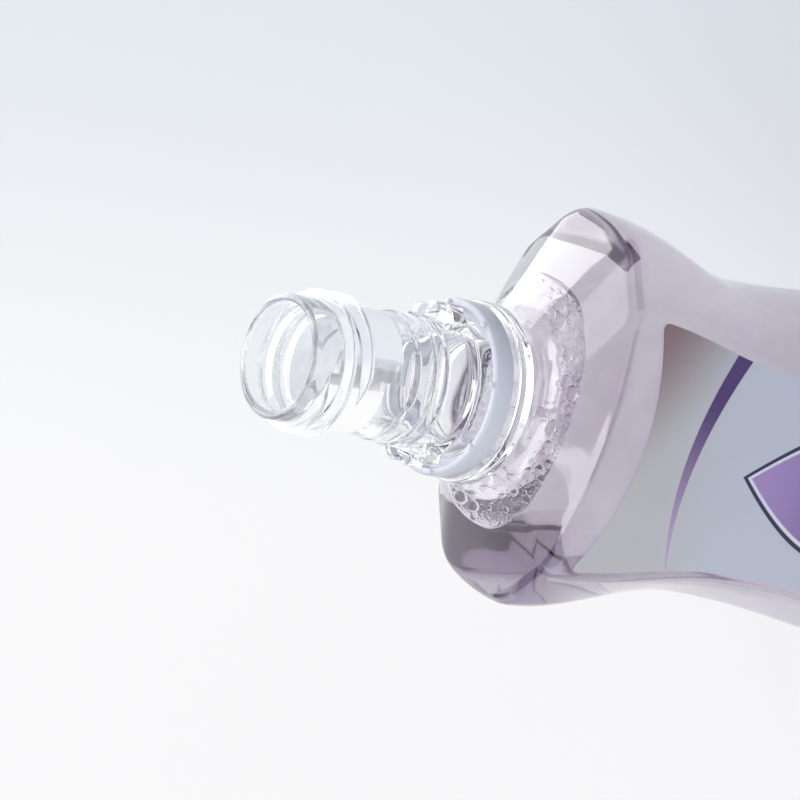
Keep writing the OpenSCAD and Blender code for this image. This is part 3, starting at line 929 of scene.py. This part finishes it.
INKS = [  # name, what lies under, what lies over it, and by which share
    # The silver ink takes that painted sheen, so its lighter blue-grey is painted light, not print.
    ("silver", "#BDBFC4", "#BFC6D6", "painted sheen"), ("faded", "silver", "#806468", "fade"),
    ("violet", "#B9A3C9", "#4B3470", "deeper"), ("crescent", "faded", "violet", "line"),
    ("rimmed", "crescent", "#2B2750", "rim"), ("lined", "rimmed", "#D9DCEC", "keyline"),
    ("drop", "#54407F", "#A48BC4", "lighter"), ("printed", "lined", "drop", "fill"),
]
print("the print:", len(MEASURES), "measures,", len(EDGES), "edges,", len(INKS), "inks")

# %% Printed silver film
FILM_TINT = "#DAD6E0"


def printed_film(name, mirror):
    film, tree = new_material(name)
    where = add(tree, "ShaderNodeTexCoord")
    split = add(tree, "ShaderNodeSeparateXYZ", {"Vector": where.outputs["Object"]})
    made = {}
    for key, axis, way in (("x", "X", -1 if mirror else 1), ("z", "Z", 1)):
        made[key] = add(tree, "ShaderNodeMath", {0: split.outputs[axis], 1: way / MM},
                        operation="MULTIPLY").outputs["Value"]
    for key, operation, *values in MEASURES:
        made[key] = add(tree, "ShaderNodeMath", {i: made.get(value, value) for i, value in enumerate(values)},
                        operation=operation).outputs["Value"]
    for key, measure, start, end, most in EDGES:
        made[key] = add(tree, "ShaderNodeMapRange", {
            "Value": made[measure], "From Min": start, "From Max": end, "To Max": most},
            interpolation_type="SMOOTHSTEP").outputs["Result"]
    for key, under, ink, share in INKS:
        low, high = [linear(c) if c.startswith("#") else made[c] for c in (under, ink)]
        made[key] = add(tree, "ShaderNodeMix", {0: made[share], COLOUR_A: low, COLOUR_B: high},
                        data_type="RGBA").outputs[MIXED]
    flakes = add(tree, "ShaderNodeTexNoise", {
        "Vector": where.outputs["Object"], "Scale": 2600.0, "Detail": 1.0})
    pull = add(tree, "ShaderNodeTexNoise", {
        "Vector": where.outputs["Object"], "Scale": 60.0, "Detail": 2.0})
    faint = add(tree, "ShaderNodeMath", {0: flakes.outputs["Fac"], 1: 0.06}, operation="MULTIPLY")
    relief = add(tree, "ShaderNodeMath", {0: pull.outputs["Fac"], 1: 1.0, 2: faint.outputs["Value"]},
                 operation="MULTIPLY_ADD")
    uneven = add(tree, "ShaderNodeBump", {
        "Height": relief.outputs["Value"], "Strength": 0.15, "Distance": 0.0004})
    body = add(tree, "ShaderNodeBsdfPrincipled", {
        "Base Color": made["printed"], "Metallic": 0.25, "Roughness": 0.34,
        "Normal": uneven.outputs["Normal"]})
    lit_through(tree, body, FILM_TINT)
    print(f"{name}: {len(tree.nodes)} nodes")
    return film


# %% Pale reverse, and both sides put on
# The back film's reverse glows with painted light, which makes it paler than the lamps alone would.
PASSING, PAINTED_BACK_GLOW = 0.6, 0.5
PRINTED, REVERSE, TOWARDS = 0, 1, 0.5


def pale_reverse(name, glow):
    """The unprinted side, seen through the liquid. Its glow is painted light: an emission, though the film is
    no lamp.
    """
    reverse, tree = new_material(name)
    where = add(tree, "ShaderNodeTexCoord")
    mottle = add(tree, "ShaderNodeTexNoise", {
        "Vector": where.outputs["Object"], "Scale": 220.0, "Detail": 3.0})
    shade = add(tree, "ShaderNodeMapRange", {
        "Value": mottle.outputs["Fac"], "From Min": 0.35, "From Max": 0.65})
    tone = add(tree, "ShaderNodeMix", {
        0: shade.outputs["Result"], COLOUR_A: linear("#E8EFE8"), COLOUR_B: linear("#F0F5EE")},
        data_type="RGBA")
    body = add(tree, "ShaderNodeBsdfPrincipled", {"Base Color": tone.outputs[MIXED], "Roughness": 0.55})
    passing = add(tree, "ShaderNodeBsdfTranslucent", {"Color": tone.outputs[MIXED]})
    both = add(tree, "ShaderNodeMixShader", {
        "Fac": PASSING, 1: body.outputs["BSDF"], 2: passing.outputs["BSDF"]})
    # Painted light: the reverse emits its own colour, so it looks lit from behind.
    painted_glow = add(tree, "ShaderNodeEmission", {"Color": tone.outputs[MIXED], "Strength": glow})
    whole = add(tree, "ShaderNodeAddShader", {0: both.outputs["Shader"], 1: painted_glow.outputs["Emission"]})
    add(tree, "ShaderNodeOutputMaterial", {"Surface": whole.outputs["Shader"]})
    return reverse


def dress_label(label, material, reverse, node, sign):
    dress(label, material, "bottle")
    label.data.materials.append(reverse)
    for face in label.data.polygons:
        face.material_index = REVERSE if face.normal.y * sign > TOWARDS else PRINTED
    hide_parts(node)


dress_label(front_label, printed_film("printed silver film, front", False),
            pale_reverse("reverse of the front film", 0.0), "front_label", 1)
dress_label(back_label, printed_film("printed silver film, back", True),
            pale_reverse("reverse of the back film", PAINTED_BACK_GLOW), "back_label", -1)

# %% [markdown]
# ## Froth
# Pouring and shaking leave froth on the liquid, thickest where it meets the wall. Each bubble is a
# nearly empty ball, so light bends far less in it than in solid glass, and a low IOR gives that
# thin rim. One ball is modelled and copied, small ones by the wall and a few large ones among them.

# %% Bubbles on the surface
random_place = random.Random(11)
BUBBLES, BUBBLE_MIN, BUBBLE_MAX, SMALL_BIAS, TRIES = 520, 0.3, 1.8, 4, 9000
FROTH_REACH, WALL_GAP, CROWDING, CLEAR_MIDDLE = 2.4, 0.9, 0.86, 2
CLUMPS, CLUMP_TURN, SPARSE = 2, 0.9, 0.25
FIRST_CURL = -len(CURL_STEPS) - len(LEVEL_STEPS)  # the surface's ring nearest to its rim


def bubble_places():
    rim = surface_rings()[FIRST_CURL]
    count, places = len(rim), []
    for _ in range(TRIES):
        if len(places) >= BUBBLES:
            break
        at = random_place.random()
        near = rim[int(at * count) % count]
        flat = Vector((near.x, near.y))
        r = BUBBLE_MIN + (BUBBLE_MAX - BUBBLE_MIN) * random_place.random() ** SMALL_BIAS
        in_by = r * WALL_GAP + random_place.expovariate(1 / FROTH_REACH)
        crowd = 0.5 + 0.5 * math.sin(at * 2 * math.pi * CLUMPS + CLUMP_TURN)
        if in_by > flat.length - CLEAR_MIDDLE or random_place.random() > SPARSE + crowd:
            continue
        spot = flat * (1 - in_by / flat.length)
        if all((spot - q).length > CROWDING * (r + s) for q, s in places):
            places.append((spot, r))
    return places


places = bubble_places()
print("bubbles placed:", len(places))

# %% One ball, copied to every place
BALL_SIDES, BALL_RINGS, SINK, FLATTENED = 14, 8, 0.3, 0.86


def froth(places):
    clear_selection()
    bpy.ops.mesh.primitive_uv_sphere_add(
        segments=BALL_SIDES, ring_count=BALL_RINGS, radius=1, location=(0, 0, 0))
    pattern = bpy.context.object
    copies = []
    for spot, r in places:
        ball = pattern.copy()
        ball.data = pattern.data.copy()
        ball.data.transform(Matrix.Translation(Vector((spot.x, spot.y, FILL_Z + SINK * r)) * MM)
                            @ Matrix.Diagonal((r * MM, r * MM, FLATTENED * r * MM, 1)))
        bpy.context.scene.collection.objects.link(ball)
        copies.append(ball)
    bpy.data.objects.remove(pattern)
    clear_selection()
    for ball in copies:
        ball.select_set(True)
    bpy.context.view_layer.objects.active = copies[0]
    bpy.ops.object.join()
    made = bpy.context.object
    made.name = "froth"
    bpy.ops.object.shade_smooth()
    return made


foam = froth(places)
print("froth:", len(foam.data.vertices), "vertices")

# %% Thin bubbles
bubble_film, tree = new_material("thin bubble of mouthwash")
where = add(tree, "ShaderNodeTexCoord")
swirl = add(tree, "ShaderNodeTexNoise", {
    "Vector": where.outputs["Object"], "Scale": 900.0, "Detail": 1.0})
thin = add(tree, "ShaderNodeBump", {"Height": swirl.outputs["Fac"], "Strength": 0.1, "Distance": 0.0001})
ball = add(tree, "ShaderNodeBsdfPrincipled", {
    "Base Color": linear("#F6F4F9"), "Roughness": 0.0, "IOR": 1.13, "Transmission Weight": 1.0,
    "Normal": thin.outputs["Normal"]})
lit_through(tree, ball, "#F4F2F6")
dress(foam, bubble_film, "bottle")

low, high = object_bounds()
print("visual box in mm:", [round(x / MM, 2) for x in low], [round(x / MM, 2) for x in high])
